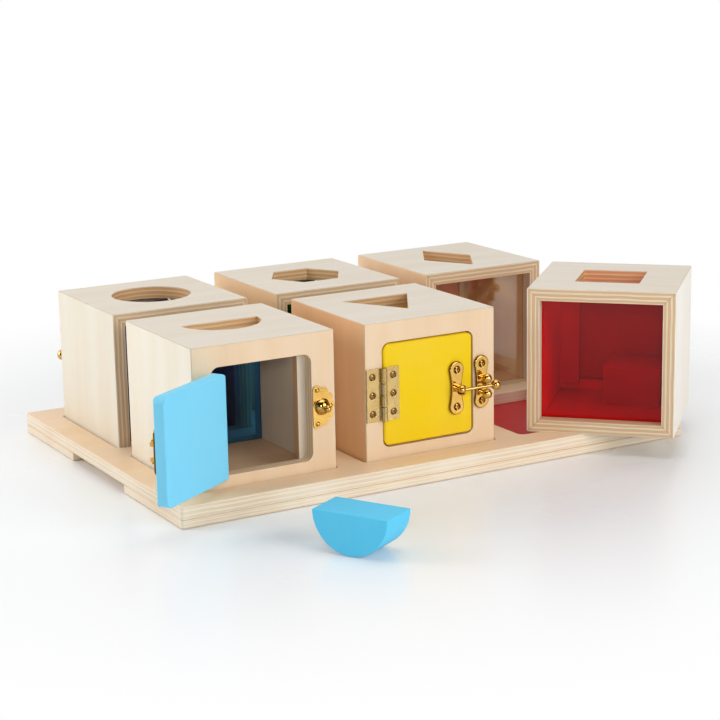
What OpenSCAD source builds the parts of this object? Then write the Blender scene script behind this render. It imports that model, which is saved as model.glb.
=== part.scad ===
// Lock box set: six wooden boxes with brass-latched doors, standing in a plywood tray.
// Millimetres. The origin is under the middle of the tray, +Z is up and the front row faces -Y.

/* [Tray] */
// Thickness of the base board that closes the sockets from below
base_t = 7; // [5:0.5:12]
// Thickness of the frame board that the sockets are cut through
frame_t = 11; // [8:0.5:16]
// Room between a box and its socket on each side
socket_play = 2; // [1:0.5:4]
// Corner radius of a socket
socket_r = 6; // [4:0.5:10]
// Wood between the outer sockets and the left and right ends
end_margin = 24; // [18:1:40]
// Wood between the sockets and the front and back edges
side_margin = 27; // [18:1:40]
// Radius of the tray's upright corners
tray_corner_r = 2.5; // [2:0.5:15]
// Length of the hand notch in each end of the base board
notch_len = 112; // [80:1:150]
// How far a hand notch reaches in under the tray
notch_depth = 16; // [10:1:20]

/* [Boxes] */
// Outer side of a box, which is a cube
box_side = 127; // [120:1:140]
// Thickness of the plywood panels
ply_t = 11; // [9:0.5:12]
// Gap between neighbouring boxes
box_gap = 28; // [24:1:40]
// Glue line between two panels
glue_t = 0.1; // [0.05:0.05:0.3]
// Rounding of a box's outer edges
edge_r = 1.5; // [1:0.5:4]
// Where the red box stands, to the right of the tray's middle
red_x = 190; // [180:1:200]
// Where the red box stands, behind the tray's middle
red_y = -136; // [-142:1:-130]
// How far the red box is turned from having its window to the front
red_turn = -45; // [-60:1:-30]

/* [Doors and windows] */
// Side of the square door opening
opening = 89; // [80:1:92]
// Corner radius of the opening
opening_r = 7; // [4:0.5:10]
// How far the opening is moved from the middle, towards the hinge
opening_shift = 2.5; // [0:0.5:3]
// How far the opening is moved up from the middle
opening_lift = 1.2; // [0:0.1:2]
// Gap round a closed door
door_gap = 1.2; // [1:0.1:2.5]
// Rounding of a door's edges
door_edge_r = 2; // [0.5:0.5:3]
// Play between a closed door and its stop
door_play = 0.3; // [0.2:0.1:0.6]
// Width of the stop strip behind the latch side
stop_w = 17.5; // [14:0.5:22]
// Thickness of the stop strip
stop_t = 7.5; // [4:0.5:9]
// How far the blue door stands open
blue_swing = 148; // [90:1:160]
// Thickness of a window pane
pane_t = 3; // [2:0.5:5]
// How far a pane is set in from the back rim
pane_set = 11; // [6:0.5:14]

/* [Shape holes and blocks] */
// Radius of the circle and half-round holes, and of the hexagon's corners
round_r = 35; // [30:0.5:37]
// Side of the square hole
square_side = 56; // [48:1:60]
// Side of the triangle hole
triangle_side = 66; // [58:1:70]
// Side of the diamond hole, which has corners of 60 and 120 degrees
diamond_side = 52; // [44:1:54]
// Height of a block lying on its face
block_t = 34.5; // [25:0.5:40]
// Room between a block and its hole on each side
block_play = 2.6; // [1.5:0.1:3.5]

/* [Hinges] */
// Height of a hinge
hinge_h = 45; // [40:1:56]
// How far a hinge's middle lies above the box's middle
hinge_lift = 2.8; // [0:0.1:4]
// Reach of a leaf from the pin's axis
leaf_w = 15.5; // [13:0.5:16]
// Thickness of a leaf
leaf_t = 1.2; // [0.8:0.1:1.6]
// Outer radius of the knuckles
knuckle_r = 2.6; // [2.4:0.1:3.2]
// Radius of the hinge pin
hinge_pin_r = 1.3; // [1:0.1:1.7]

/* [Latches] */
// Height of the swing-arm guard's plates
guard_h = 46; // [42:1:52]
// Width of a guard plate at its round ends
guard_w = 14; // [12:0.5:15]
// Thickness of a guard plate
guard_t = 3; // [2:0.5:4]
// Radius of the guard's ball tips
guard_ball_r = 4.4; // [3.5:0.1:4.8]
// Height of the clasp's scalloped plates
clasp_h = 36; // [34:1:40]
// Radius of the barrel bolt's rod
bolt_r = 2.5; // [2:0.1:3]
// Travel of the barrel bolt
bolt_travel = 14; // [12:1:15]
// Length of the turn button
button_len = 36; // [32:1:40]
// Height of the hasp's strap
hasp_h = 18; // [14:1:24]

/* [Hidden] */
$fn = 64;
overcut = 1;
half = box_side / 2;
pitch = box_side + box_gap;
row_y = pitch / 2;
tray_t = base_t + frame_t;
socket = box_side + 2 * socket_play;
tray_w = 2 * (pitch + socket / 2 + end_margin);
tray_d = 2 * (row_y + socket / 2 + side_margin);
notch_r = 6;

// Door, hinge and opening, in a box's own frame: door towards -Y, origin under the box's middle
opening_x = -opening_shift;
opening_z = half + opening_lift;
door = opening - 2 * door_gap;
door_t = ply_t - door_play;
door_r = opening_r - door_gap + 0.5;
door_edge_x = opening_x + door / 2;
frame_edge_x = opening_x + opening / 2;
knuckle_lift = 0.4;
hinge_x = opening_x - opening / 2;
hinge_z = half + hinge_lift;
hinge_out = knuckle_r + knuckle_lift;
running_fit = 0.05;
neck_r = 1.8;
neck_play = 0.4;
knuckle_gap = 0.5;
// Share of the hinge's height that each knuckle takes, from the bottom up, and which leaf it belongs to
knuckle_ends = [0, 0.28, 0.5, 0.72, 1];
stop_end_gap = 6;

// Each box: name, place, turn about Z, shape hole, how far its door stands open
BOXES = [
    ["blue", [-pitch, -row_y, base_t], 0, "half_round", blue_swing],
    ["yellow", [0, -row_y, base_t], 0, "triangle", 0],
    ["red", [red_x, red_y, tray_t], 180 + red_turn, "square", 0],
    ["purple", [-pitch, row_y, base_t], 180, "circle", 0],
    ["green", [0, row_y, base_t], 180, "hexagon", 0],
    ["orange", [pitch, row_y, base_t], 180, "diamond", 0],
];
BLUE = BOXES[0];
YELLOW = BOXES[1];
RED = BOXES[2];
PURPLE = BOXES[3];
GREEN = BOXES[4];
ORANGE = BOXES[5];

BOX_NODES = ["shell", "top_panel", "window", "door", "hinge_frame_leaf", "hinge_door_leaf", "block"];
LATCH_NODES = [
    "blue_clasp_keeper", "blue_clasp_plate", "blue_clasp_loop",
    "yellow_guard_fork", "yellow_guard_plate", "yellow_guard_arm",
    "red_bolt_keeper", "red_bolt_base", "red_bolt_rod",
    "purple_knob_rosette", "purple_hook_rosette", "purple_hook",
    "green_turn_button",
    "orange_hasp_staple", "orange_hasp_leaf", "orange_hasp_strap",
];
NODES = concat(
    ["tray_base", "tray_frame"],
    [for (b = BOXES, n = BOX_NODES) str(b[0], "_", n)],
    LATCH_NODES
);
node = "all";

plywood = "#e8cfa8";
brass = "#d4a647";

function shown(name) = node == "all" || node == name;

function paint(name) =
    name == "blue" ? "#6cc0ec"
    : name == "yellow" ? "#f0cc22"
    : name == "red" ? "#cc2233"
    : name == "purple" ? "#6b3a78"
    : name == "green" ? "#3f9a4c"
    : "#e88a2a";

// Shared shapes

module rounded_rect(w, h, r) {
    square([w - 2 * r, h], center = true);
    square([w, h - 2 * r], center = true);
    for (x = [-1, 1], y = [-1, 1])
        translate([x * (w / 2 - r), y * (h / 2 - r)]) circle(r);
}

// Extrudes a drawing of X and Z along Y, from y to y + t
module along_y(y, t) translate([0, y + t, 0]) rotate([90, 0, 0]) linear_extrude(t) children();

// Extrudes a drawing of Y and Z along X, from x to x + t
module along_x(x, t) translate([x, 0, 0]) rotate([90, 0, 90]) linear_extrude(t) children();

// A flat piece of thickness t on a box's front, lifted off the wood by out
module on_front(out, t) along_y(-half - out - t, t) children();

// Revolves a profile about an axis that stands out of a box's front at x, z
module turned_out(x, z, out = 0)
    translate([x, -half - out, z]) rotate([90, 0, 0]) rotate_extrude() children();

// The half profile of a low dome of foot radius r and height h, for turned_out
module dome_profile(r, h) {
    ball_r = (r * r + h * h) / (2 * h);
    intersection() {
        translate([0, h - ball_r]) circle(ball_r);
        square([r, h]);
    }
}

// The half profile of a ball of radius r, centred at height h, on a neck down to the foot
module knob_profile(neck_r, r, h) {
    square([neck_r, h]);
    intersection() {
        translate([0, h]) circle(r);
        translate([0, h - r]) square([r, 2 * r]);
    }
}

// A plate of thickness t with cross-slotted screws of radius r sunk in it: places lists each one's x and z
module screwed(places, t, r = 3.2) {
    floor_r = 0.78 * r;
    head_r = 0.72 * r;
    sink = r - floor_r;
    slot_w = 0.3 * r;
    difference() {
        children();
        for (p = places) turned_out(p.x, p.y, t)
            polygon([[0, -sink], [floor_r, -sink], [r, 0], [r, overcut], [0, overcut]]);
    }
    for (p = places) difference() {
        turned_out(p.x, p.y, t - 1.5 * sink) {
            square([head_r, sink / 2]);
            translate([0, sink / 2]) dome_profile(head_r, sink);
        }
        for (turn = [45, 135]) on_front(t - sink, 2 * sink) translate(p)
            rotate(turn) square([1.5 * head_r, slot_w], center = true);
    }
}

// Puts a piece drawn in a box's own frame where that box stands
module at_box(b) translate(b[1]) rotate(b[2]) children();

// Swings a piece of a closed door out about its hinge by the angle that the box's door stands open
module on_door(b) {
    axis = [hinge_x, -half - hinge_out, 0];
    translate(axis) rotate(-b[4]) translate(-axis) children();
}

// Tray

module tray_outline() rounded_rect(tray_w, tray_d, tray_corner_r);

module tray_base() color(plywood) linear_extrude(base_t) difference() {
    tray_outline();
    for (end = [-1, 1]) translate([end * tray_w / 2, 0]) rounded_rect(2 * notch_depth, notch_len, notch_r);
}

module tray_frame() color(plywood) translate([0, 0, base_t]) linear_extrude(frame_t) difference() {
    tray_outline();
    for (col = [-1:1], row = [-1, 1])
        translate([col * pitch, row * row_y]) rounded_rect(socket, socket, socket_r);
}

// Box carcass

// A cube with its outer edges rounded, but for the crisp sawn rim at the back
module soft_cube() intersection() {
    long = box_side + edge_r;
    linear_extrude(box_side) translate([0, edge_r / 2]) rounded_rect(box_side, long, edge_r);
    along_y(-half, box_side) translate([0, half]) rounded_rect(box_side, box_side, edge_r);
    along_x(-half, box_side) translate([edge_r / 2, half]) rounded_rect(long, box_side, edge_r);
}

// Section of a panel with a mitre at both ends, its outer side along the X axis
module mitred_both() {
    long = half - glue_t / 2;
    polygon([[-long, 0], [long, 0], [long - ply_t, ply_t], [ply_t - long, ply_t]]);
}

// Section of a panel with a mitre at the front and a square end at the back
module mitred_front()
    polygon([[glue_t / 2, 0], [box_side, 0], [box_side, ply_t], [ply_t + glue_t / 2, ply_t]]);

module front_panel() difference() {
    intersection() {
        soft_cube();
        linear_extrude(box_side) translate([0, -half]) mitred_both();
        along_x(-half, box_side) translate([-half, half]) rotate(-90) mitred_both();
    }
    along_y(-half - overcut, ply_t + 2 * overcut)
        translate([opening_x, opening_z]) rounded_rect(opening, opening, opening_r);
}

module right_panel() intersection() {
    soft_cube();
    linear_extrude(box_side) translate([half, -half]) rotate(90) mitred_front();
    along_y(-half, box_side) translate([half, half]) rotate(90) mitred_both();
}

module base_panel() intersection() {
    soft_cube();
    along_y(-half, box_side) mitred_both();
    along_x(-half, box_side) translate([-half, 0]) mitred_front();
}

module door_stop() {
    foot = ply_t + stop_end_gap;
    translate([half - ply_t - glue_t - stop_w, ply_t + glue_t - half, foot])
        cube([stop_w, stop_t, box_side - 2 * foot]);
}

module shell(b) color(plywood) {
    difference() {
        front_panel();
        if (b[0] == "green") turned_out(button_x, half, -button_shank - overcut)
            square([button_pin_r + running_fit, half]);
    }
    right_panel();
    mirror([1, 0, 0]) right_panel();
    base_panel();
    door_stop();
}

// The outline of a shape hole, drawn in by inset to give the block that drops through it
module shape_outline(shape, inset = 0) {
    diamond_h = diamond_side * sqrt(3) / 2;
    triangle_drop = triangle_side * sqrt(3) / 12;
    if (shape == "circle") circle(round_r - inset);
    if (shape == "hexagon") circle(round_r - inset / cos(30), $fn = 6);
    if (shape == "square") square(square_side - 2 * inset, center = true);
    if (shape == "triangle")
        translate([0, triangle_drop]) rotate(-90) circle(triangle_side / sqrt(3) - 2 * inset, $fn = 3);
    if (shape == "diamond") scale(1 - 2 * inset / diamond_h)
        polygon([[0, -diamond_h], [diamond_side / 2, 0], [0, diamond_h], [-diamond_side / 2, 0]]);
    if (shape == "half_round") translate([0, (round_r - inset) / 2]) intersection() {
        circle(round_r - inset);
        translate([-round_r, -round_r]) square([2 * round_r, round_r]);
    }
}

module top_panel(b) color(plywood) difference() {
    translate([0, 0, box_side]) mirror([0, 0, 1]) base_panel();
    translate([0, 0, box_side - ply_t - overcut]) linear_extrude(ply_t + 2 * overcut) shape_outline(b[3]);
}

module window(b) {
    clear = box_side - 2 * ply_t;
    color(paint(b[0]), 0.5) along_y(half - pane_set - pane_t, pane_t)
        translate([0, half]) square(clear, center = true);
}

module door_panel(b) color(paint(b[0])) intersection() {
    along_y(-half, door_t) translate([opening_x, opening_z]) rounded_rect(door, door, door_r);
    linear_extrude(box_side) translate([opening_x, door_t / 2 - half])
        rounded_rect(door, door_t, door_edge_r);
    along_x(-half, box_side) translate([door_t / 2 - half, opening_z])
        rounded_rect(door_t, door, door_edge_r);
}

// Where a block lies in its box. The red one lies beside its hole, near the door.
red_block_place = [-19, -25, ply_t];
// Where the half-round block lies on its round side in front of the tray, and which way it points
half_round_place = [-152, -287];
half_round_turn = 29.5;

module block(b) color(paint(b[0])) {
    if (b[3] == "half_round") {
        r = round_r - block_play;
        translate([half_round_place.x, half_round_place.y, r]) rotate([90, 0, half_round_turn + 90])
            translate([0, -r / 2, -block_t / 2]) linear_extrude(block_t) shape_outline(b[3], block_play);
    } else {
        at_box(b) translate(b[3] == "square" ? red_block_place : [0, 0, ply_t])
            linear_extrude(block_t) shape_outline(b[3], block_play);
    }
}

// Hinge

screw_row = hinge_h * 0.348;
screw_reach = leaf_w * 0.64;

function knuckle_low(i) = hinge_z + hinge_h * (knuckle_ends[i] - 0.5) + (i == 0 ? 0 : knuckle_gap / 2);
function knuckle_high(i) = hinge_z + hinge_h * (knuckle_ends[i + 1] - 0.5) - (i == 3 ? 0 : knuckle_gap / 2);

// One leaf, to the left of the pin or to its right, with the knuckles of even or of odd place from the bottom
module leaf(odd, side) {
    screws = [for (row = [-1:1]) [hinge_x + side * screw_reach, hinge_z + row * screw_row]];
    screwed(screws, leaf_t) on_front(0, leaf_t) difference() {
        translate([hinge_x + side * leaf_w / 2, hinge_z]) square([leaf_w, hinge_h], center = true);
        for (i = [1 - odd:2:3])
            translate([hinge_x - knuckle_r - knuckle_gap, knuckle_low(i) - knuckle_gap])
                square([2 * (knuckle_r + knuckle_gap), knuckle_high(i) - knuckle_low(i) + 2 * knuckle_gap]);
    }
    for (i = [odd:2:3])
        translate([hinge_x, -half - hinge_out, knuckle_low(i)])
            cylinder(r = knuckle_r, h = knuckle_high(i) - knuckle_low(i));
}

module hinge_pin(grow = 0)
    translate([hinge_x, -half - hinge_out, hinge_z - hinge_h / 2 - grow])
        cylinder(r = hinge_pin_r + grow, h = hinge_h + 2 * grow);

module hinge_frame_leaf() color(brass) {
    leaf(1, -1);
    hinge_pin();
}

module hinge_door_leaf() color(brass) difference() {
    leaf(0, 1);
    hinge_pin(running_fit);
}

// Blue clasp: scalloped plates, a dome with a knob on the frame's one and a wire loop on the door's

clasp_lift = 0.9;
clasp_z = half + clasp_lift;
clasp_t = 1;
clasp_edge = 0.4;
clasp_dome_in = 8.4;
clasp_dome_r = 7;
clasp_dome_h = 5.4;
clasp_lobe_r = 4;
clasp_lobe_reach = 11.9;
clasp_rise = clasp_h / 2 - clasp_lobe_r;
clasp_pin_r = 2.2;
clasp_pin_h = 2.4;
clasp_knob_r = 2.9;
clasp_knob_out = 10.5;
keeper_x = frame_edge_x + clasp_edge + clasp_dome_in;
loop_in = 2.8;
loop_x = door_edge_x - clasp_edge - loop_in;
loop_out = 3.7;
loop_wire_r = 0.9;
loop_half = 8.8;
loop_reach = keeper_x - loop_x;
ear_r = 1.9;
ear_low = 4.6;
ear_high = 7.4;

// A scalloped plate with its round-head pins: a straight edge at x, and seven lobes towards side
module scallop_plate(x, side) {
    lobes = [for (a = [-90:30:90])
        [side * (clasp_lobe_r + clasp_lobe_reach * cos(a)), clasp_rise * sin(a)]];
    on_front(0, clasp_t) translate([x, clasp_z]) {
        polygon(concat([[0, -clasp_rise]], lobes, [[0, clasp_rise]]));
        for (c = lobes) translate(c) circle(clasp_lobe_r);
    }
    for (i = [0, 3, 6])
        turned_out(x + lobes[i].x, clasp_z + lobes[i].y) dome_profile(clasp_pin_r, clasp_pin_h);
}

module blue_clasp_keeper() color(brass) {
    scallop_plate(frame_edge_x + clasp_edge, 1);
    turned_out(keeper_x, clasp_z) {
        square([clasp_dome_r, clasp_t]);
        translate([0, clasp_t]) dome_profile(clasp_dome_r, clasp_dome_h);
    }
    turned_out(keeper_x, clasp_z) knob_profile(neck_r, clasp_knob_r, clasp_knob_out);
}

// Upright wire on the loop's swing axis, from low to high about the clasp's middle
module loop_upright(r, low, high)
    translate([loop_x, -half - loop_out, clasp_z + low]) cylinder(r = r, h = high - low);

module blue_clasp_plate() color(brass) {
    scallop_plate(door_edge_x - clasp_edge, -1);
    for (low = [ear_low, -ear_high]) difference() {
        translate([loop_x, -half - loop_out, clasp_z + low]) linear_extrude(ear_high - ear_low) {
            circle(ear_r);
            translate([-ear_r, 0]) square([2 * ear_r, loop_out]);
        }
        loop_upright(loop_wire_r + running_fit, -half, half);
    }
}

// The wire loop, laid back on the door: two legs, a half-round bend and two ends turned in to the ears
module blue_clasp_loop() color(brass) {
    loop_upright(loop_wire_r, ear_low, loop_half);
    loop_upright(loop_wire_r, -loop_half, -ear_low);
    for (side = [-1, 1]) translate([loop_x, -half - loop_out, clasp_z + side * loop_half]) {
        sphere(loop_wire_r);
        rotate([0, -90, 0]) cylinder(r = loop_wire_r, h = loop_reach);
    }
    translate([loop_x - loop_reach, -half - loop_out, clasp_z]) intersection() {
        rotate([90, 0, 0]) rotate_extrude() translate([loop_half, 0]) circle(loop_wire_r);
        translate([-half, -half, -half]) cube([half, box_side, box_side]);
    }
}

// Yellow swing-arm guard: a ball-ended arm on the door lies between two ball-tipped prongs on the frame

guard_drop = 1.5;
guard_z = half - guard_drop;
guard_door_x = 24;
guard_frame_x = 49;
guard_fork_lift = 2.2;
guard_waist = 10.2;
guard_waist_r = 60;
guard_out = 10.5;
guard_rod_r = 1.3;
guard_arm_end = 57.8;
guard_pin_r = 1.2;
guard_eye_r = 3.2;
guard_eye_h = 5;
guard_ear_gap = 0.3;
guard_lug_r = 4.6;
guard_neck_r = 3.4;
guard_screw_r = 3.5;
prong_r = 1.8;
prong_rise = 6.7;

// A screwed dog-bone plate with its middle at x, z: round ends and a hollowed waist
module guard_plate_body(x, z) {
    end_r = guard_w / 2;
    rise = guard_h / 2 - end_r;
    screwed([[x, z - rise], [x, z + rise]], guard_t, guard_screw_r) on_front(0, guard_t) translate([x, z]) {
        for (side = [-1, 1]) translate([0, side * rise]) circle(end_r);
        difference() {
            square([guard_w, 2 * rise], center = true);
            for (side = [-1, 1]) translate([side * (guard_waist / 2 + guard_waist_r), 0])
                circle(guard_waist_r, $fn = 128);
        }
    }
}

module yellow_guard_fork() color(brass) {
    guard_plate_body(guard_frame_x, guard_z + guard_fork_lift);
    for (side = [-1, 1])
        turned_out(guard_frame_x, guard_z + side * prong_rise) knob_profile(prong_r, guard_ball_r, guard_out);
}

// An upright rod on the arm's pivot axis
module guard_upright(r, h)
    translate([guard_door_x, -half - guard_out, guard_z - h / 2]) cylinder(r = r, h = h);

// A level slab of height h round the arm's pivot, that reaches back as far as the eye does
module guard_level(h) {
    wide = 2 * guard_lug_r + overcut;
    back = guard_eye_r + guard_ear_gap;
    translate([guard_door_x - wide / 2, -half - guard_out - wide, guard_z - h / 2]) cube([wide, wide + back, h]);
}

module yellow_guard_plate() color(brass) {
    guard_plate_body(guard_door_x, guard_z);
    difference() {
        turned_out(guard_door_x, guard_z) knob_profile(guard_neck_r, guard_lug_r, guard_out);
        guard_level(guard_eye_h + 2 * guard_ear_gap);
    }
    guard_upright(guard_pin_r, 2 * guard_lug_r);
}

module yellow_guard_arm() color(brass) difference() {
    union() {
        intersection() {
            translate([guard_door_x, -half - guard_out, guard_z]) sphere(guard_eye_r);
            guard_level(guard_eye_h);
        }
        translate([guard_door_x, -half - guard_out, guard_z]) rotate([0, 90, 0])
            cylinder(r = guard_rod_r, h = guard_arm_end - guard_door_x);
        translate([guard_arm_end, -half - guard_out, guard_z]) sphere(guard_ball_r);
    }
    guard_upright(guard_pin_r + running_fit, 2 * guard_eye_h);
}

// Red barrel bolt: a rod with a ball handle that slides through four guide loops into a keeper

bolt_out = 5;
bolt_plate_t = 1.2;
bolt_plate_h = 20;
loop_r = 4.4;
loop_len = 6;
bolt_loops = [2, 13, 24, 35];
bolt_end = door_edge_x - 0.5;
bolt_handle_x = bolt_loops[0] - loop_len / 2 - bolt_r - bolt_travel - running_fit;
bolt_handle_r = 4;
bolt_handle_out = 13;
bolt_keeper_x = 51;
bolt_keeper_len = 8;
bolt_plate_end = 5;
bolt_screw_in = 3.2;
small_screw_r = 2.1;

// A loop of length len round the bolt, centred at x, with a bore of radius r
module guide_loop(x, len, r) along_x(x - len / 2, len) translate([-half, half]) difference() {
    union() {
        translate([-bolt_out, 0]) circle(loop_r);
        translate([-bolt_out, -loop_r]) square([bolt_out, 2 * loop_r]);
    }
    translate([-bolt_out, 0]) circle(r);
}

// A screwed plate from x0 to x1
module bolt_plate(x0, x1) {
    rise = bolt_plate_h / 2 - bolt_screw_in;
    screws = [for (x = [x0 + bolt_screw_in, x1 - bolt_screw_in], side = [-1, 1]) [x, half + side * rise]];
    screwed(screws, bolt_plate_t, small_screw_r) on_front(0, bolt_plate_t)
        translate([(x0 + x1) / 2, half]) rounded_rect(x1 - x0, bolt_plate_h, small_screw_r);
}

module red_bolt_base() color(brass) {
    bolt_plate(bolt_loops[0] - bolt_plate_end, bolt_end);
    for (x = bolt_loops) guide_loop(x, loop_len, bolt_r + running_fit);
}

module red_bolt_rod() color(brass) {
    translate([bolt_handle_x, -half - bolt_out, half]) rotate([0, 90, 0])
        cylinder(r = bolt_r, h = bolt_end - bolt_handle_x);
    translate([bolt_handle_x, -half - bolt_out, half]) sphere(bolt_r);
    turned_out(bolt_handle_x, half, bolt_out)
        knob_profile(bolt_r * 0.7, bolt_handle_r, bolt_handle_out - bolt_out);
}

module red_bolt_keeper() color(brass) {
    bolt_plate(bolt_keeper_x - bolt_keeper_len + 1, bolt_keeper_x + bolt_keeper_len - 1);
    guide_loop(bolt_keeper_x, bolt_keeper_len, bolt_r + neck_play);
}

// Purple hook and knob: round rosettes, a ball knob on the frame's one and a hook on the door's

rosette_r = 7;
rosette_rim = 1.5;
rosette_h = 6.4;
purple_knob_x = 55.4;
purple_knob_r = 5;
purple_knob_out = 17;
purple_hook_x = 30;
hook_w = 3.6;
hook_gap = 0.6;
hook_out = rosette_h + hook_gap;
hook_t = 2;
hook_post_r = 1.5;
hook_head_t = 1.1;
hook_lip = 1.8;
swing_room = 0.6;

// A turned rosette: a flat rim, a groove and a raised middle up to the hook's height
module rosette(x) turned_out(x, half) {
    square([rosette_r, rosette_rim]);
    translate([0, rosette_rim]) dome_profile(rosette_r - rosette_rim, rosette_h - rosette_rim);
}

module purple_knob_rosette() color(brass) {
    rosette(purple_knob_x);
    turned_out(purple_knob_x, half) knob_profile(neck_r, purple_knob_r, purple_knob_out);
}

// A rosette with the post that the hook swings on, whose flat head keeps the hook there
module purple_hook_rosette() color(brass) {
    rosette(purple_hook_x);
    turned_out(purple_hook_x, half) {
        square([hook_post_r, hook_out + hook_t + neck_play]);
        translate([0, hook_out + hook_t + neck_play]) square([2 * hook_post_r, hook_head_t]);
    }
}

// A flat hook hanging from its post: an eye, a bar and a notch that drops over the knob's neck
module purple_hook() color(brass) {
    reach = purple_knob_x - purple_hook_x;
    mouth_r = neck_r + neck_play;
    tip_r = mouth_r + hook_lip;
    on_front(hook_out, hook_t) translate([purple_hook_x, half]) rotate(-90) difference() {
        union() {
            circle(hook_w * 0.8);
            translate([0, -hook_w / 2]) square([reach, hook_w]);
            translate([reach, 0]) circle(tip_r);
        }
        circle(hook_post_r + running_fit);
        translate([reach, 0]) circle(mouth_r);
        translate([reach - mouth_r - swing_room, -2 * tip_r]) square([2 * mouth_r + swing_room, 2 * tip_r]);
    }
}

// Green turn button: a bar on a screw in the frame, which turns across the door's edge

button_x = 53;
button_w = 9;
button_t = 3;
button_lift = 0.4;
button_boss_r = 4.2;
button_boss_h = 4;
button_pin_r = 1.6;
button_shank = 8;

module green_turn_button() color(brass) {
    top = button_lift + button_t;
    on_front(button_lift, button_t) translate([button_x, half]) {
        square([button_w, button_len - button_w], center = true);
        for (end = [-1, 1]) translate([0, end * (button_len - button_w) / 2]) circle(button_w / 2);
    }
    turned_out(button_x, half, top) dome_profile(button_boss_r, button_boss_h);
    turned_out(button_x, half, -button_shank) square([button_pin_r, button_shank + top]);
}

// Orange hasp: a strap hinged on the door lies over a staple on the frame

hasp_t = 1.4;
hasp_leaf_t = 1.2;
hasp_axis_x = 37;
hasp_axis_out = 3;
hasp_knuckle_r = 2.2;
hasp_pin_r = 1;
hasp_mid_h = hasp_h * 0.36;
hasp_leaf_reach = 26;
hasp_screw_reach = [8, 20];
hasp_screw_rise = hasp_h * 0.28;
strap_h = hasp_h * 0.8;
strap_reach = 25.5;
strap_r = 3;
staple_reach = 15;
staple_r = 5.2;
staple_wire = 2.4;
staple_out = 5.6;
staple_plate_w = 16;
staple_plate_h = hasp_h + 4;
staple_screw_rise = hasp_h * 0.42;
slot_play = 1.4;
slot_r = 1.5;

// An upright cylinder on the hasp's hinge axis, from low to high about the strap's middle
module hasp_upright(r, low, high)
    translate([hasp_axis_x, -half - hasp_axis_out, half + low]) cylinder(r = r, h = high - low);

module orange_hasp_leaf() color(brass) {
    mid = hasp_mid_h / 2 + knuckle_gap;
    screws = [for (reach = hasp_screw_reach, side = [-1, 1])
        [hasp_axis_x - reach, half + side * hasp_screw_rise]];
    screwed(screws, hasp_leaf_t, small_screw_r)
        on_front(0, hasp_leaf_t) translate([hasp_axis_x, half]) difference() {
            translate([-hasp_leaf_reach, -hasp_h / 2]) square([hasp_leaf_reach, hasp_h]);
            square([2 * (hasp_knuckle_r + knuckle_gap), 2 * mid], center = true);
        }
    hasp_upright(hasp_knuckle_r, -hasp_h / 2, -mid);
    hasp_upright(hasp_knuckle_r, mid, hasp_h / 2);
    hasp_upright(hasp_pin_r, -hasp_h / 2, hasp_h / 2);
}

module orange_hasp_strap() color(brass) difference() {
    union() {
        hasp_upright(hasp_knuckle_r, -hasp_mid_h / 2, hasp_mid_h / 2);
        on_front(hasp_axis_out - hasp_t / 2, hasp_t) translate([hasp_axis_x, half]) {
            neck = hasp_knuckle_r + 2 * knuckle_gap;
            translate([0, -hasp_mid_h / 2]) square([neck + strap_r, hasp_mid_h]);
            translate([(neck + strap_reach) / 2, 0]) rounded_rect(strap_reach - neck, strap_h, strap_r);
        }
    }
    hasp_upright(hasp_pin_r + running_fit, -hasp_h, hasp_h);
    on_front(0, 2 * hasp_axis_out) translate([hasp_axis_x + staple_reach, half])
        rounded_rect(2 * (staple_r + slot_play), staple_wire + 2 * slot_play, slot_r);
}

module orange_hasp_staple() color(brass) {
    x = hasp_axis_x + staple_reach;
    screws = [for (side = [-1, 1]) [x, half + side * staple_screw_rise]];
    screwed(screws, hasp_leaf_t, small_screw_r) on_front(0, hasp_leaf_t)
        translate([x, half]) rounded_rect(staple_plate_w, staple_plate_h, small_screw_r);
    translate([x, -half, half - staple_wire / 2]) linear_extrude(staple_wire) difference() {
        union() {
            translate([0, -staple_out]) circle(staple_r);
            translate([-staple_r, -staple_out]) square([2 * staple_r, staple_out]);
        }
        translate([0, -staple_out]) circle(staple_r - staple_wire);
    }
}

// The set

if (shown("tray_base")) tray_base();
if (shown("tray_frame")) tray_frame();

for (b = BOXES) {
    at_box(b) {
        if (shown(str(b[0], "_shell"))) shell(b);
        if (shown(str(b[0], "_top_panel"))) top_panel(b);
        if (shown(str(b[0], "_window"))) window(b);
        if (shown(str(b[0], "_door"))) on_door(b) door_panel(b);
        if (shown(str(b[0], "_hinge_frame_leaf"))) hinge_frame_leaf();
        if (shown(str(b[0], "_hinge_door_leaf"))) on_door(b) hinge_door_leaf();
    }
    if (shown(str(b[0], "_block"))) block(b);
}

at_box(BLUE) {
    if (shown("blue_clasp_keeper")) blue_clasp_keeper();
    if (shown("blue_clasp_plate")) on_door(BLUE) blue_clasp_plate();
    if (shown("blue_clasp_loop")) on_door(BLUE) blue_clasp_loop();
}
at_box(YELLOW) {
    if (shown("yellow_guard_fork")) yellow_guard_fork();
    if (shown("yellow_guard_plate")) yellow_guard_plate();
    if (shown("yellow_guard_arm")) yellow_guard_arm();
}
at_box(RED) {
    if (shown("red_bolt_keeper")) red_bolt_keeper();
    if (shown("red_bolt_base")) red_bolt_base();
    if (shown("red_bolt_rod")) red_bolt_rod();
}
at_box(PURPLE) {
    if (shown("purple_knob_rosette")) purple_knob_rosette();
    if (shown("purple_hook_rosette")) purple_hook_rosette();
    if (shown("purple_hook")) purple_hook();
}
at_box(GREEN) {
    if (shown("green_turn_button")) green_turn_button();
}
at_box(ORANGE) {
    if (shown("orange_hasp_staple")) orange_hasp_staple();
    if (shown("orange_hasp_leaf")) orange_hasp_leaf();
    if (shown("orange_hasp_strap")) orange_hasp_strap();
}
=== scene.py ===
from math import radians

import bpy
from mathutils import Matrix, Vector


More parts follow.
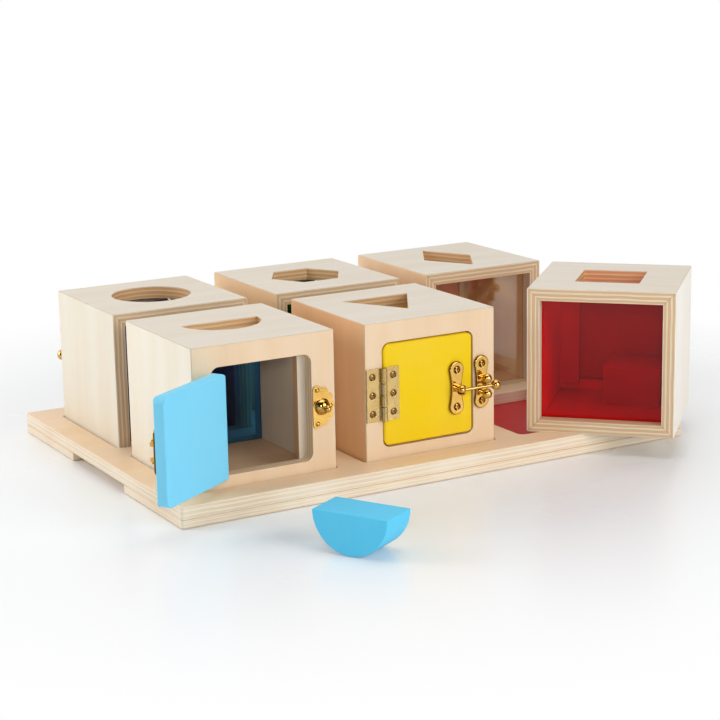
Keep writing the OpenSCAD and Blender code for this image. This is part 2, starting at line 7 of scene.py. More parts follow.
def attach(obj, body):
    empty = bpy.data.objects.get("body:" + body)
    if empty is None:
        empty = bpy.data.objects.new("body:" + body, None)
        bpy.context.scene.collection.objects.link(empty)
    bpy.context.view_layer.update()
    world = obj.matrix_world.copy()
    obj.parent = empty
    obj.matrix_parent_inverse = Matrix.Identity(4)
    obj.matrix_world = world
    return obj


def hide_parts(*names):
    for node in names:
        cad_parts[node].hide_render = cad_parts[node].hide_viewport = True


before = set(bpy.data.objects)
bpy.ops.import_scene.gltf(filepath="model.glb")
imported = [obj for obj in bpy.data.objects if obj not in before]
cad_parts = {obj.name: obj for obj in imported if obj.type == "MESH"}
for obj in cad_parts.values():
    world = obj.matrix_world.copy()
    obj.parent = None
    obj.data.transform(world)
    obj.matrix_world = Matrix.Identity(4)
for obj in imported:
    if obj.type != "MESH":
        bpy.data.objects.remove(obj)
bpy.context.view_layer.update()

bpy.context.scene.view_settings.view_transform = "Standard"

# Tray: two birch plywood boards glued face to face, the upper one sawn with six square sockets and the
# lower one notched at both ends for the hands. The floor of each socket is painted in its box's colour.
BASE_T, TRAY_T = 7.0, 18.0
PITCH = 155.0
PAINT_FILM = 0.05
BASE_EASE, FRAME_EASE = 0.6, 0.8


def srgb(red, green, blue):
    """A colour read off in 0 to 255, as the linear values that a shader socket takes."""
    scaled = [c / 255 for c in (red, green, blue)]
    return tuple(c / 12.92 if c <= 0.04045 else ((c + 0.055) / 1.055) ** 2.4 for c in scaled) + (1.0,)


PAINT = {
    "blue": srgb(128, 216, 250), "yellow": srgb(246, 208, 8), "red": srgb(196, 34, 44),
    "purple": srgb(108, 62, 128), "green": srgb(66, 156, 78), "orange": srgb(236, 134, 40),
}
TRAY_VENEER, BLEACHED_EDGE, WORN_PAINT = srgb(242, 214, 180), srgb(246, 236, 218), srgb(120, 80, 70)


def wire(tree, sockets, values):
    """Links named sockets to others, or sets them to plain values."""
    for name, value in values.items():
        if isinstance(value, bpy.types.NodeSocket):
            tree.links.new(value, sockets[name])
        else:
            sockets[name].default_value = value


def put(tree, kind, inputs=None, **settings):
    """Adds a node, sets its options, and links or sets its inputs."""
    node = tree.nodes.new("ShaderNode" + kind)
    for name, value in settings.items():
        setattr(node, name, value)
    wire(tree, node.inputs, inputs or {})
    return node


def calc(tree, operation, *values):
    """The result of one Math node on sockets and numbers."""
    return put(tree, "Math", dict(enumerate(values)), operation=operation).outputs[0]


def blended(tree, share, first, second, blend_type="MIX"):
    """Two colours mixed by a share from 0 to 1. A Mix node takes colours at 6 and 7 and gives one at 2."""
    return put(tree, "Mix", {0: share, 6: first, 7: second}, data_type="RGBA", blend_type=blend_type).outputs[2]


def stretched(tree, value, low, high, new_low=0.0, new_high=1.0):
    """A value brought from one range to another, and held inside it."""
    return put(tree, "MapRange", {"Value": value, "From Min": low, "From Max": high,
                                  "To Min": new_low, "To Max": new_high}).outputs[0]


def noise(tree, vector, scale=1.0, detail=2.0, roughness=0.5):
    """Noise between about 0.3 and 0.7 on a vector."""
    return put(tree, "TexNoise", {"Vector": vector, "Scale": scale, "Detail": detail,
                                  "Roughness": roughness}).outputs["Fac"]


def vector_of(tree, x, y, z):
    """Three values as one vector."""
    return put(tree, "CombineXYZ", {"X": x, "Y": y, "Z": z}).outputs[0]


def node_group(name, inputs, outputs):
    """An empty shader group with named sockets, and the sockets that it is given and makes."""
    tree = bpy.data.node_groups.new(name, "ShaderNodeTree")
    for direction, sockets in (("INPUT", inputs), ("OUTPUT", outputs)):
        for socket, kind in sockets.items():
            tree.interface.new_socket(socket, in_out=direction, socket_type="NodeSocket" + kind)
    return tree, tree.nodes.new("NodeGroupInput").outputs, tree.nodes.new("NodeGroupOutput").inputs


FACE_VENEER, VENEER_WANDER = 0.53, 0.45


def plywood_group():
    """Birch plywood from a depth below the outer face and two lengths along and across the grain, in mm."""
    tree, given, made = node_group(
        "birch_plywood",
        {"Depth": "Float", "Thickness": "Float", "Along": "Float", "Across": "Float", "Seed": "Float",
         "Veneer": "Color"},
        {"Color": "Color", "Roughness": "Float", "Height": "Float", "Sawn": "Float"})
    depth, thick, along, across, seed = (
        given[name] for name in ("Depth", "Thickness", "Along", "Across", "Seed"))

    def figure(along_scale, across_scale, detail, roughness=0.5):
        """Noise drawn out along the grain."""
        return noise(tree, vector_of(tree, calc(tree, "MULTIPLY", along, along_scale),
                                     calc(tree, "MULTIPLY", across, across_scale), seed),
                     detail=detail, roughness=roughness)

    clouds = figure(0.006, 0.045, 3.0)
    streaks = figure(0.02, 0.5, 4.0, 0.6)
    flecks = figure(0.22, 2.6, 2.0)
    face = given["Veneer"]
    for mark, low, high, share, stain in ((clouds, 0.32, 0.68, 0.55, srgb(247, 238, 225)),
                                          (streaks, 0.45, 0.75, 0.08, srgb(232, 208, 178)),
                                          (flecks, 0.6, 0.75, 0.06, srgb(205, 165, 122))):
        face = blended(tree, stretched(tree, mark, low, high, 0.0, share), face, stain, "MULTIPLY")
    # Seven veneers through the thickness, some with a dark glue line
    pale, cream, tan, rust = srgb(242, 225, 197), srgb(236, 216, 183), srgb(220, 188, 147), srgb(188, 143, 104)
    wander = stretched(tree, figure(0.03, 0.03, 2.0), 0.2, 0.8, -VENEER_WANDER, VENEER_WANDER)
    layer = put(tree, "ValToRGB", {"Fac": calc(tree, "DIVIDE", calc(tree, "ADD", depth, wander), thick)})
    ramp = layer.color_ramp.elements
    ramp[0].position, ramp[0].color = 0.0, pale
    ramp[1].position, ramp[1].color = 1.0, pale
    for place, colour in [(0.1, pale), (0.11, rust), (0.135, tan), (0.26, tan), (0.275, cream), (0.42, pale),
                          (0.43, rust), (0.455, tan), (0.575, tan), (0.59, rust), (0.61, cream), (0.74, pale),
                          (0.75, tan), (0.88, tan), (0.895, rust), (0.915, pale)]:
        ramp.new(place).color = colour
    length = calc(tree, "MULTIPLY", calc(tree, "ADD", along, across), 0.035)
    lines = noise(tree, vector_of(tree, calc(tree, "MULTIPLY", depth, 2.4), length, seed),
                  detail=4.0, roughness=0.65)
    edge = blended(tree, stretched(tree, lines, 0.45, 0.75, 0.0, 0.45), layer.outputs["Color"], rust)
    below_face = calc(tree, "MINIMUM", depth, calc(tree, "SUBTRACT", thick, depth))
    sawn = stretched(tree, below_face, FACE_VENEER - 0.05, FACE_VENEER + 0.05)
    planed = stretched(tree, streaks, 0.35, 0.7, 0.42, 0.5)
    wire(tree, made, {
        "Color": blended(tree, sawn, face, edge),
        "Roughness": calc(tree, "ADD", planed, calc(tree, "MULTIPLY", sawn, 0.15)),
        "Height": calc(tree, "ADD", calc(tree, "MULTIPLY", streaks, 0.5), calc(tree, "MULTIPLY", lines, sawn)),
        "Sawn": sawn})
    return tree


PLYWOOD = plywood_group()


def new_material(name):
    """A material with only a Principled shader, and its tree and shader."""
    material = bpy.data.materials.new(name)
    material.use_nodes = True
    return material, material.node_tree, material.node_tree.nodes["Principled BSDF"]


def object_place(tree, place=(0, 0, 0), turn=0.0):
    """Object coordinates in mm, in the frame of a piece that stands at a place in mm and is turned about Z."""
    where = put(tree, "TexCoord").outputs["Object"]
    return put(tree, "Mapping", {"Vector": where, "Location": Vector(place) / 1000,
                                 "Rotation": (0, 0, radians(turn)), "Scale": (0.001, 0.001, 0.001)},
               vector_type="TEXTURE").outputs[0]


GRAIN_DEPTH = 0.2


def bump(tree, shader, height, strength, depth=GRAIN_DEPTH):
    """Fine relief on a material, so many mm deep."""
    relief = put(tree, "Bump", {"Height": height, "Strength": strength, "Distance": depth / 1000})
    wire(tree, shader.inputs, {"Normal": relief.outputs[0]})


def grouped(tree, group, inputs):
    """The outputs of a shader group placed in a material's tree."""
    return put(tree, "Group", inputs, node_tree=group).outputs


def tray_material(name, low, high, seed, painted):
    """Plywood lying flat between two heights, with painted squares on its upper face where asked."""
    material, tree, shader = new_material(name)
    local = object_place(tree)
    x, y, z = put(tree, "SeparateXYZ", {0: local}).outputs
    depth = calc(tree, "SUBTRACT", high, z)
    wood = grouped(tree, PLYWOOD, {"Depth": depth, "Thickness": high - low, "Along": x, "Across": y,
                                   "Seed": seed, "Veneer": TRAY_VENEER})
    patchy = stretched(tree, noise(tree, local, 0.02), 0.3, 0.7, 0.4, 0.75)
    colour = blended(tree, calc(tree, "MULTIPLY", wood["Sawn"], patchy), wood["Color"], BLEACHED_EDGE)
    if painted:
        left = calc(tree, "LESS_THAN", x, -PITCH / 2)
        right = calc(tree, "GREATER_THAN", x, PITCH / 2)
        back = calc(tree, "GREATER_THAN", y, 0.0)
        rows = [blended(tree, right, blended(tree, left, PAINT[middle], PAINT[first]), PAINT[last])
                for first, middle, last in (("blue", "yellow", "red"), ("purple", "green", "orange"))]
        brushed = stretched(tree, noise(tree, local, 0.05, 3.0), 0.3, 0.7, 0.0, 0.12)
        paint = blended(tree, brushed, blended(tree, back, *rows), WORN_PAINT)
        colour = blended(tree, calc(tree, "LESS_THAN", depth, PAINT_FILM), colour, paint)
    wire(tree, shader.inputs, {"Base Color": colour, "Roughness": wood["Roughness"]})
    bump(tree, shader, wood["Height"], 0.25)
    return material


WELD = 2e-6
FLAT, SMOOTH, SHARP = radians(0.5), radians(32), radians(38)
WIDE_EASE = 0.5


def eased(node, body, material, cuts):
    """A copy of a CAD node with its triangles merged and its sharp edges eased, standing for that node.
    Each cut is a width in mm and a test of an edge's middle."""
    bpy.ops.object.select_all(action="DESELECT")
    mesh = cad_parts[node].data.copy()
    mesh.materials.clear()
    mesh.materials.append(material)
    piece = bpy.data.objects.new(node + "_eased", mesh)
    mesh.name = piece.name
    bpy.context.scene.collection.objects.link(piece)
    bpy.context.view_layer.objects.active = piece
    piece.select_set(True)
    bpy.ops.mesh.customdata_custom_splitnormals_clear()
    bpy.context.tool_settings.mesh_select_mode = (False, True, False)
    bpy.ops.object.mode_set(mode="EDIT")
    bpy.ops.mesh.select_all(action="SELECT")
    bpy.ops.mesh.remove_doubles(threshold=WELD)
    bpy.ops.mesh.dissolve_limited(angle_limit=FLAT)
    for width, wanted in cuts:
        bpy.ops.mesh.select_all(action="DESELECT")
        bpy.ops.mesh.edges_select_sharp(sharpness=SHARP)
        bpy.ops.object.mode_set(mode="OBJECT")
        for edge in mesh.edges:
            if edge.select:
                first, last = (mesh.vertices[v].co for v in edge.vertices)
                edge.select = wanted((first + last) / 2)
        bpy.ops.object.mode_set(mode="EDIT")
        bpy.ops.mesh.bevel(offset=width / 1000, segments=3 if width > WIDE_EASE else 2,
                           clamp_overlap=False, loop_slide=False)
    bpy.ops.object.mode_set(mode="OBJECT")
    bpy.ops.object.shade_smooth_by_angle(angle=SMOOTH)
    weighted = piece.modifiers.new("weighted", "WEIGHTED_NORMAL")
    weighted.keep_sharp = True
    bpy.ops.object.modifier_apply(modifier=weighted.name)
    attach(piece, body)
    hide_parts(node)


def everywhere(middle):
    """A test that takes every sharp edge."""
    return True


base_wood = tray_material("tray_base_plywood", low=0.0, high=BASE_T, seed=3.1, painted=True)
frame_wood = tray_material("tray_frame_plywood", low=BASE_T, high=TRAY_T, seed=8.4, painted=False)
eased("tray_base", "tray", base_wood, [(BASE_EASE, everywhere)])
eased("tray_frame", "tray", frame_wood, [(FRAME_EASE, everywhere)])

# Carcass of each box: five mitred plywood panels glued into an open cube, the front one sawn with the
# door's opening and the top one with a shape hole, and a stop strip for the door glued behind the front.
HALF, PLY_T = 63.5, 11.0
STRIP_X, STRIP_DEPTH = 34.0, PLY_T + 0.3
HOLE_REACH, HOLE_LOW = 45.0, 2 * HALF - PLY_T - 0.1
OPENING_X, OPENING_Z, OPENING_REACH, OPENING_PLAY = -2.5, 64.7, 45.0, 0.05
RIM_EASE, SHELL_EASE, TOP_EASE = 0.4, 0.12, 0.18
# The fronts' veneer is painted warmer as painted shade, and the tops' paler and greyer as painted sheen
FRONT_VENEER_WARM_SHADE, TOP_VENEER_PAINTED_SHEEN = srgb(240, 213, 180), srgb(227, 218, 203)
# Inside, the walls' veneer is painted pale as painted light, and the floor's and ceiling's darker and warmer as
# painted shade
INNER_WALL_LIT, INNER_FLOOR_SHADED = srgb(230, 219, 202), srgb(222, 190, 154)
HOLE_WARMTH, STRIP_EDGE = srgb(255, 236, 212), srgb(206, 160, 116)
# Side veneers are painted per box: pale as painted light on the blue, red and purple boxes, warm orange-brown
# as painted shade on the yellow, green and orange ones, which stand between others
SIDE_VENEER_LIT_AND_SHADED = {
    "blue": srgb(246, 239, 224), "yellow": srgb(236, 188, 140), "red": srgb(250, 246, 238),
    "purple": srgb(237, 230, 214), "green": srgb(240, 204, 160), "orange": srgb(244, 214, 178),
}
# Where each box stands, in mm, and how many degrees it is turned
PLACES = {
    "blue": ((-PITCH, -PITCH / 2, BASE_T), 0), "yellow": ((0.0, -PITCH / 2, BASE_T), 0),
    "red": ((190.0, -136.0, TRAY_T), 135), "purple": ((-PITCH, PITCH / 2, BASE_T), 180),
    "green": ((0.0, PITCH / 2, BASE_T), 180), "orange": ((PITCH, PITCH / 2, BASE_T), 180),
}


def panel_group():
    """How deep a point of a box lies in its nearest panel, its lengths along and across that panel's grain,
    the panel's veneer inside and out with painted light and shade by the way it faces, and where the stop strip
    and the shape hole are."""
    tree, given, made = node_group(
        "box_panels", {"Local": "Vector", "Side": "Color"},
        {"Depth": "Float", "Along": "Float", "Across": "Float", "Veneer": "Color", "Strip": "Float",
         "Hole": "Float"})
    x, y, z = put(tree, "SeparateXYZ", {0: given["Local"]}).outputs
    from_middle = calc(tree, "ABSOLUTE", x)
    side = calc(tree, "SUBTRACT", HALF, from_middle)
    front = calc(tree, "ADD", y, HALF)
    wall = calc(tree, "MINIMUM", side, front)
    flat = calc(tree, "MINIMUM", z, calc(tree, "SUBTRACT", 2 * HALF, z))
    level = calc(tree, "LESS_THAN", flat, wall)
    depth = calc(tree, "MINIMUM", flat, wall)
    walls = blended(tree, calc(tree, "LESS_THAN", front, side), given["Side"], FRONT_VENEER_WARM_SHADE)
    outer = blended(tree, level, walls, TOP_VENEER_PAINTED_SHEEN)
    inner = blended(tree, level, INNER_WALL_LIT, INNER_FLOOR_SHADED)
    behind = calc(tree, "GREATER_THAN", depth, STRIP_DEPTH)
    spread = calc(tree, "MAXIMUM", from_middle, calc(tree, "ABSOLUTE", y))
    wire(tree, made, {
        "Depth": depth,
        "Along": put(tree, "Mix", {0: level, 2: z, 3: x}).outputs[0],
        "Across": put(tree, "Mix", {0: level, 2: calc(tree, "ADD", x, y), 3: y}).outputs[0],
        "Veneer": blended(tree, calc(tree, "GREATER_THAN", depth, PLY_T / 2), outer, inner),
        "Strip": calc(tree, "MULTIPLY", behind, calc(tree, "GREATER_THAN", x, STRIP_X)),
        "Hole": calc(tree, "MULTIPLY", calc(tree, "LESS_THAN", spread, HOLE_REACH),
                     calc(tree, "GREATER_THAN", z, HOLE_LOW))})
    return tree


PANELS = panel_group()


def box_material(colour, seed):
    """Plywood panels in the place of one box, their veneers painted lit and shaded by the way each faces, with
    the sawn edge of the stop strip and a warm shape hole.
    """
    material, tree, shader = new_material(colour + "_box_plywood")
    panel = grouped(tree, PANELS, {"Local": object_place(tree, *PLACES[colour]), "Side": SIDE_VENEER_LIT_AND_SHADED[colour]})
    wood = grouped(tree, PLYWOOD, {"Depth": panel["Depth"], "Thickness": PLY_T, "Along": panel["Along"],
                                   "Across": panel["Across"], "Seed": seed, "Veneer": panel["Veneer"]})
    hole = calc(tree, "MULTIPLY", panel["Hole"], wood["Sawn"])
    grain = blended(tree, hole, wood["Color"], HOLE_WARMTH, "MULTIPLY")
    wire(tree, shader.inputs, {"Base Color": blended(tree, panel["Strip"], grain, STRIP_EDGE),
                               "Roughness": wood["Roughness"]})
    bump(tree, shader, wood["Height"], 0.07)
    return material


def local_point(colour, point):
    """A point in a box's own frame, in mm."""
    place, turn = PLACES[colour]
    return Matrix.Rotation(radians(-turn), 3, "Z") @ (point * 1000 - Vector(place))


def opening_rim(colour):
    """A test for the outer rim of a box's door opening."""
    def on_rim(middle):
        at = local_point(colour, middle)
        return (abs(at.y + HALF) < OPENING_PLAY and abs(at.x - OPENING_X) < OPENING_REACH
                and abs(at.z - OPENING_Z) < OPENING_REACH)

    return on_rim


def all_but(test):
    """A test for the edges that another test leaves."""
    return lambda middle: not test(middle)


for number, colour in enumerate(PLACES):
    wood = box_material(colour, seed=11.7 * number)
    rim = opening_rim(colour)
    eased(colour + "_shell", colour + "_box", wood,
          [(RIM_EASE, rim), (SHELL_EASE, all_but(rim))])
    eased(colour + "_top_panel", colour + "_box", wood, [(TOP_EASE, everywhere)])

# Windows: a pane of cast acrylic, tinted right through in the box's colour, glued into the open
# back, a panel's thickness in from the rim.
TINT = {
    "blue": srgb(62, 158, 236), "yellow": srgb(246, 214, 60), "red": srgb(250, 20, 44),
    "purple": srgb(140, 84, 164), "green": srgb(92, 186, 106), "orange": srgb(255, 226, 190),
}
# The red pane mirrors less than plain acrylic in the photo, and the orange one more
ACRYLIC_IOR, PANE_IOR = 1.49, {"red": 1.33, "orange": 1.75}
WHITE = (1.0, 1.0, 1.0, 1.0)
PANE_EASE = 0.3


def acrylic_material(colour):
    """Clear tinted acrylic, with faint smears in its gloss, that lets the light of the studio in."""
    material, tree, shader = new_material(colour + "_acrylic")
    smear = noise(tree, object_place(tree, *PLACES[colour]), 0.03, 4.0)
    tint = TINT[colour]
    deeper = tuple(c * 0.92 for c in tint[:3]) + (1.0,)
    wire(tree, shader.inputs, {
        "Base Color": blended(tree, stretched(tree, smear, 0.35, 0.65), tint, deeper),
        "Roughness": stretched(tree, smear, 0.4, 0.7, 0.005, 0.02),
        "Transmission Weight": 1.0, "IOR": PANE_IOR.get(colour, ACRYLIC_IOR)})
    let_in = {"blue": tuple(c * 0.25 for c in tint), "orange": WHITE}
    clear = put(tree, "BsdfTransparent", {"Color": let_in.get(colour, tuple(c ** 0.5 for c in tint))})
    path = put(tree, "LightPath").outputs
    unseen = calc(tree, "MAXIMUM", path["Is Shadow Ray"], path["Is Diffuse Ray"])
    mixed = put(tree, "MixShader", {0: unseen, 1: shader.outputs[0], 2: clear.outputs[0]})
    wire(tree, tree.nodes["Material Output"].inputs, {"Surface": mixed.outputs[0]})
    return material


for colour in PLACES:
    eased(colour + "_window", colour + "_box", acrylic_material(colour),
          [(PANE_EASE, everywhere)])

# Doors: a square of plywood with rounded corners and edges, sanded and sprayed with two coats of satin
# paint, hung in the opening on one hinge.
DOOR_EASE = 0.3
PAINT_SPECULAR = 0.14
GRAIN_SHADOW = srgb(60, 60, 60)


def paint_group():
    """Sprayed paint over wood: a colour with faint grain showing through, its gloss and its fine ripple."""
    tree, given, made = node_group("satin_paint", {"Local": "Vector", "Paint": "Color", "Seed": "Float"},
                                   {"Color": "Color", "Roughness": "Float", "Height": "Float"})
    x, y, z = put(tree, "SeparateXYZ", {0: given["Local"]}).outputs
    across = calc(tree, "MULTIPLY", calc(tree, "ADD", x, y), 0.5)
    grain = noise(tree, vector_of(tree, across, calc(tree, "MULTIPLY", z, 0.02), given["Seed"]), detail=3.0)
    ripple = noise(tree, given["Local"], 0.9)
    cloud = noise(tree, given["Local"], 0.02)
    telling = stretched(tree, grain, 0.4, 0.7, 0.0, 0.015)
    shade = blended(tree, telling, given["Paint"], GRAIN_SHADOW, "MULTIPLY")
    wire(tree, made, {
        "Color": blended(tree, stretched(tree, cloud, 0.4, 0.7, 0.0, 0.02), shade, WHITE),
        "Roughness": stretched(tree, cloud, 0.3, 0.7, 0.44, 0.52),
        "Height": calc(tree, "ADD", calc(tree, "MULTIPLY", grain, 0.15), ripple)})
    return tree


SATIN_PAINT = paint_group()


def paint_material(name, colour, seed, paint):
    """Satin paint on a piece that belongs to one box."""
    material, tree, shader = new_material(name)
    coat = grouped(tree, SATIN_PAINT, {"Local": object_place(tree, *PLACES[colour]), "Paint": paint,
                                       "Seed": seed})
    wire(tree, shader.inputs, {"Base Color": coat["Color"], "Roughness": coat["Roughness"],
                               "Specular IOR Level": PAINT_SPECULAR})
    bump(tree, shader, coat["Height"], 0.04)
    return material


for number, colour in enumerate(PLACES):
    paint = paint_material(colour + "_door_paint", colour, 5.3 * number, PAINT[colour])
    eased(colour + "_door", colour + "_door_leaf", paint, [(DOOR_EASE, everywhere)])

# Shape blocks: solid beech, sawn to the outline of the hole less a little play, sanded and sprayed like
# the doors. The blue one is a shade deeper than its door.
BLOCK_PAINT = {**PAINT, "blue": srgb(94, 208, 248)}
BLOCK_EASE = 0.7
for number, colour in enumerate(PLACES):
    paint = paint_material(colour + "_block_paint", colour, 2.9 * number + 1.7, BLOCK_PAINT[colour])
    eased(colour + "_block", colour + "_loose_block", paint, [(BLOCK_EASE, everywhere)])

# Hinges: pressed brass butt hinges with four knuckles round a steel pin, each leaf held by three
# cross-head screws, one leaf on the frame and one on the door.
LEAF_T = 1.2
BRASS_EASE = 0.14
SCRATCH_DEPTH, ENGRAVED_DEPTH = 0.05, 0.1
# Dark brown below a brass face: partly browning, partly painted shade in screw holes, knuckle gaps and edges
BROWNING_AND_SHADE = srgb(112, 70, 28)


def brass_group():
    """Lacquered brass: its colour with faint clouds, its gloss and its fine rolling lines."""
    tree, given, made = node_group(
        "lacquered_brass", {"Local": "Vector", "Metal": "Color", "Tarnish": "Color", "Gloss": "Float"},
        {"Color": "Color", "Roughness": "Float", "Height": "Float"})
    x, y, z = put(tree, "SeparateXYZ", {0: given["Local"]}).outputs
    cloud = noise(tree, given["Local"], 0.12, 3.0)
    across = calc(tree, "MULTIPLY", calc(tree, "ADD", x, y), 6.0)
    wire(tree, made, {
        "Color": blended(tree, stretched(tree, cloud, 0.4, 0.75, 0.0, 0.5), given["Metal"], given["Tarnish"]),
        "Roughness": calc(tree, "MULTIPLY", given["Gloss"], stretched(tree, cloud, 0.3, 0.7, 0.8, 1.3)),
        "Height": noise(tree, vector_of(tree, across, calc(tree, "MULTIPLY", z, 0.15), 0.0))})
    return tree


BRASS = brass_group()


def brass_material(name, metal, tarnish, gloss, scratch, where, face, engraved=None):
    """Brass in the frame of the box or door it is screwed to, darkened below its face, partly by browning and
    partly as painted shade: in the screw holes, between the knuckles and down the edges. The face lies so many
    mm in front of the wood, and can be engraved with rings round a point."""
    material, tree, shader = new_material(name)
    local = object_place(tree, *where)
    finish = grouped(tree, BRASS, {"Local": local, "Metal": metal, "Tarnish": tarnish, "Gloss": gloss})
    sunk = calc(tree, "ADD", put(tree, "SeparateXYZ", {0: local}).outputs["Y"], HALF + face)
    # Painted shade with some browning, deeper the further a point lies below the face
    browning_and_shade = stretched(tree, sunk, 0.1, 0.5, 0.0, 0.85)
    wire(tree, shader.inputs, {"Base Color": blended(tree, browning_and_shade, finish["Color"], BROWNING_AND_SHADE),
                               "Roughness": finish["Roughness"], "Metallic": 1.0})
    if engraved:
        x, z = engraved
        middle = put(tree, "Mapping", {"Vector": local, "Location": (-x, 0, -z)}).outputs[0]
        rings = put(tree, "TexWave", {"Vector": middle, "Scale": 0.24, "Distortion": 3.0, "Detail Scale": 0.3},
                    wave_type="RINGS", rings_direction="Y").outputs["Fac"]
        cut = calc(tree, "MULTIPLY", rings, stretched(tree, sunk, -0.3, -0.1))
        bump(tree, shader, cut, 0.2, ENGRAVED_DEPTH)
    else:
        bump(tree, shader, finish["Height"], scratch, SCRATCH_DEPTH)
    return material


# The blue door stands open in the photo, so its fittings have a frame that is turned about the hinge pin
PIN, OPENED = Vector((-47.0, -66.5, 0.0)), -148.0
swung = Vector(PLACES["blue"][0]) + PIN - Matrix.Rotation(radians(OPENED), 3, "Z") @ PIN
ON_DOOR = {**PLACES, "blue": (swung, OPENED)}
HINGE_LOOK = {"metal": srgb(196, 168, 112), "tarnish": srgb(178, 146, 90), "gloss": 0.24, "scratch": 0.03}
for colour in PLACES:
    for leaf, body, where in (("frame", "_box", PLACES[colour]), ("door", "_door_leaf", ON_DOOR[colour])):
        brass = brass_material(colour + "_" + leaf + "_hinge_brass", where=where, face=LEAF_T, **HINGE_LOOK)
        eased(colour + "_hinge_" + leaf + "_leaf", colour + body, brass, [(BRASS_EASE, everywhere)])

# Latches: cast and pressed brass, polished and lacquered, a different kind on each box. What sits on the
# frame rides with the box, what sits on the door with the door, and the mover on its own pivot or slide.
PRESSED_T, GUARD_T = 1.0, 3.0
LATCHES = [
    ("blue_clasp_keeper", "blue_box", PRESSED_T), ("blue_clasp_plate", "blue_door_leaf", PRESSED_T),
    ("blue_clasp_loop", "blue_latch_loop", PRESSED_T),
    ("yellow_guard_fork", "yellow_box", GUARD_T), ("yellow_guard_plate", "yellow_door_leaf", GUARD_T),
    ("yellow_guard_arm", "yellow_latch_arm", GUARD_T),
    ("red_bolt_keeper", "red_box", LEAF_T), ("red_bolt_base", "red_door_leaf", LEAF_T),
    ("red_bolt_rod", "red_latch_bolt", LEAF_T),
    ("purple_knob_rosette", "purple_box", PRESSED_T), ("purple_hook_rosette", "purple_door_leaf", PRESSED_T),
    ("purple_hook", "purple_latch_hook", PRESSED_T),
    ("green_turn_button", "green_latch_button", PRESSED_T),
    ("orange_hasp_staple", "orange_box", LEAF_T), ("orange_hasp_leaf", "orange_door_leaf", LEAF_T),
    ("orange_hasp_strap", "orange_latch_strap", LEAF_T),
]
LATCH_LOOK = {"metal": srgb(210, 168, 90), "tarnish": srgb(188, 140, 62), "gloss": 0.13, "scratch": 0.02}
# The middles of the engraved plates and of the guard's plates, across and up in the box's frame
ENGRAVED = {"blue_clasp_keeper": (50.8, 64.4), "blue_clasp_plate": (32.0, 64.4)}
GUARD_PLATES = {"yellow_guard_fork": (49.0, 64.2), "yellow_guard_plate": (24.0, 62.0)}
GUARD_EASE = 1.1
# What stands on a guard plate's face, or is sunk in it, lies this near to the plate's middle
INNER_X, INNER_Z, FACE_PLAY = 4.7, 20.0, 0.02


def pillowed(node):
    """A test for the outline of a guard plate's face, which is cast with a full round edge."""
    x, z = GUARD_PLATES[node]

    def outline(middle):
        at = local_point("yellow", middle)
        on_face = abs(at.y + HALF + GUARD_T) < FACE_PLAY
        return on_face and (abs(at.x - x) > INNER_X or abs(at.z - z) > INNER_Z)

    return outline


for node, body, face in LATCHES:
    colour = node.split("_")[0]
    where = PLACES[colour] if body.endswith("_box") else ON_DOOR[colour]
    brass = brass_material(node + "_brass", where=where, face=face, engraved=ENGRAVED.get(node), **LATCH_LOOK)
    wide = [(GUARD_EASE, pillowed(node))] if node in GUARD_PLATES else []
    eased(node, body, brass, wide + [(BRASS_EASE, everywhere)])

# Studio: a pale glossy floor that fades to white away from the toy, soft boxes on both sides, above and
# by the camera, and dark flags of cloth behind the camera and beside it that give the brass something
# dark to mirror. All sizes here are in metres.
FLOOR_SIZE, FLOOR_LOW = 12.0, -0.0003
FADE_FROM, FADE_TO = 0.3, 0.62
AIR_LIGHT = 0.55


def seen_white(tree):
    """1 where the camera looks, also by way of metal or glass, and 0 where only light is carried."""
    path = put(tree, "LightPath").outputs
    plain_or_metal = calc(tree, "ADD", path["Is Camera Ray"], path["Is Glossy Ray"])
    return calc(tree, "MINIMUM", calc(tree, "ADD", plain_or_metal, path["Is Transmission Ray"]), 1.0)


bpy.ops.object.select_all(action="DESELECT")
bpy.ops.mesh.primitive_plane_add(size=FLOOR_SIZE, location=(0, 0, FLOOR_LOW))
floor = bpy.context.object
floor.name = "studio_floor"
floor_material, tree, shader = new_material("studio_floor_white")
where = put(tree, "TexCoord").outputs["Object"]
away = put(tree, "VectorMath", {0: where}, operation="LENGTH").outputs["Value"]
wire(tree, shader.inputs, {"Base Color": srgb(246, 248, 250), "Specular IOR Level": 0.35,
                           "Roughness": stretched(tree, noise(tree, where, 3.0), 0.3, 0.7, 0.26, 0.28)})
white = put(tree, "Emission", {"Color": WHITE, "Strength": 1.0})
fade = calc(tree, "MULTIPLY", stretched(tree, away, FADE_FROM, FADE_TO), seen_white(tree))
mixed = put(tree, "MixShader", {0: fade, 1: shader.outputs[0], 2: white.outputs[0]})
wire(tree, tree.nodes["Material Output"].inputs, {"Surface": mixed.outputs[0]})
floor.data.materials.append(floor_material)

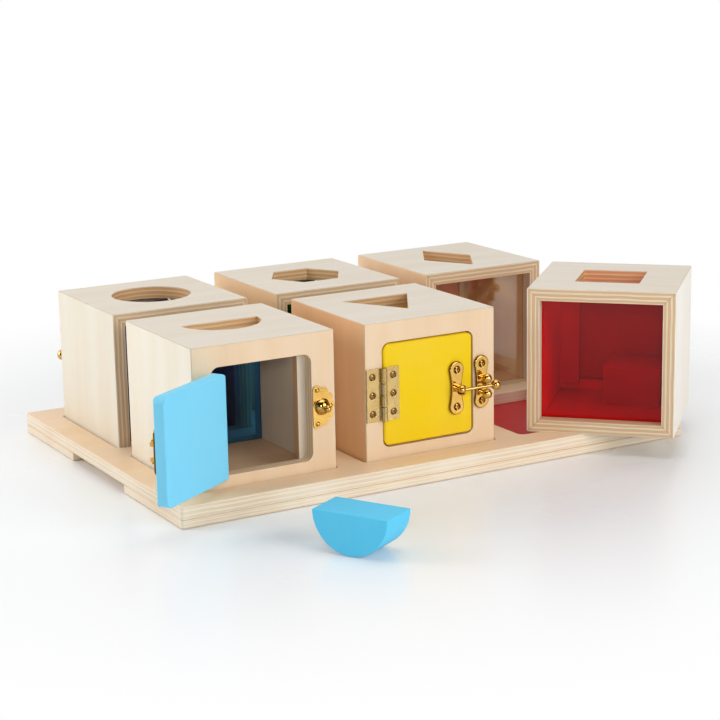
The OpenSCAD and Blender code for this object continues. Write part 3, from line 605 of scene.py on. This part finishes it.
cloth, tree, shader = new_material("dark_flag_cloth")
weave = noise(tree, put(tree, "TexCoord").outputs["Object"], 40.0)
wire(tree, shader.inputs, {"Base Color": blended(tree, weave, srgb(70, 62, 54), srgb(56, 50, 44)),
                           "Roughness": 0.9})
for name, place, size in (("dark_flag_camera", (-1.7, -2.6, 2.0), 4.8),
                          ("dark_flag_left", (-3.4, -0.2, 2.0), 3.6),
                          ("dark_flag_right", (3.0, -1.6, 2.0), 3.4)):
    bpy.ops.mesh.primitive_plane_add(size=size)
    flag = bpy.context.object
    flag.name = name
    facing = (-Vector(place)).to_track_quat("Z", "Y")
    flag.matrix_world = Matrix.Translation(place) @ facing.to_matrix().to_4x4()
    flag.visible_camera = False
    flag.data.materials.append(cloth)

world = bpy.data.worlds.new("studio_air")
bpy.context.scene.world = world
world.use_nodes = True
tree = world.node_tree
air = stretched(tree, seen_white(tree), 0.0, 1.0, AIR_LIGHT, 1.0)
wire(tree, tree.nodes["Background"].inputs, {"Color": WHITE, "Strength": air})


def soft_box(name, place, aim, size, watts, tone):
    """A square area lamp turned to a point."""
    lamp = bpy.data.lights.new(name, "AREA")
    lamp.shape, lamp.size, lamp.energy, lamp.color = "SQUARE", size, watts, tone
    holder = bpy.data.objects.new(name, lamp)
    holder.location = place
    holder.rotation_euler = (Vector(aim) - Vector(place)).to_track_quat("-Z", "Y").to_euler()
    bpy.context.scene.collection.objects.link(holder)


soft_box("left_soft_box", (-1.4, 0.75, 0.7), (0, 0, 0.06), size=1.0, watts=14.0, tone=(1.0, 0.98, 0.95))
soft_box("right_soft_box", (0.6, -1.8, 0.7), (0.05, 0, 0.06), size=1.1, watts=16.0, tone=(1.0, 0.99, 0.97))
soft_box("front_soft_box", (-0.86, -1.54, 0.6), (0, 0, 0.06), size=0.2, watts=5.0, tone=(1.0, 0.99, 0.97))
soft_box("top_soft_box", (0.0, -0.1, 1.8), (0, 0, 0), size=1.4, watts=9.0, tone=(0.97, 0.98, 1.0))

CAMERA_PLACE = (-0.8219, -1.4705, 0.4667)
CAMERA_YAW, CAMERA_TILT, CAMERA_ROLL = radians(-29.565), radians(13.310), radians(1.0889)
camera = bpy.data.cameras.new("photo_camera")
camera.lens, camera.sensor_width = 96.4, 36.0
holder = bpy.data.objects.new("photo_camera", camera)
holder.matrix_world = (Matrix.Translation(CAMERA_PLACE) @ Matrix.Rotation(CAMERA_YAW, 4, "Z")
                       @ Matrix.Rotation(radians(90) - CAMERA_TILT, 4, "X")
                       @ Matrix.Rotation(-CAMERA_ROLL, 4, "Z"))
bpy.context.scene.collection.objects.link(holder)
bpy.context.scene.camera = holder
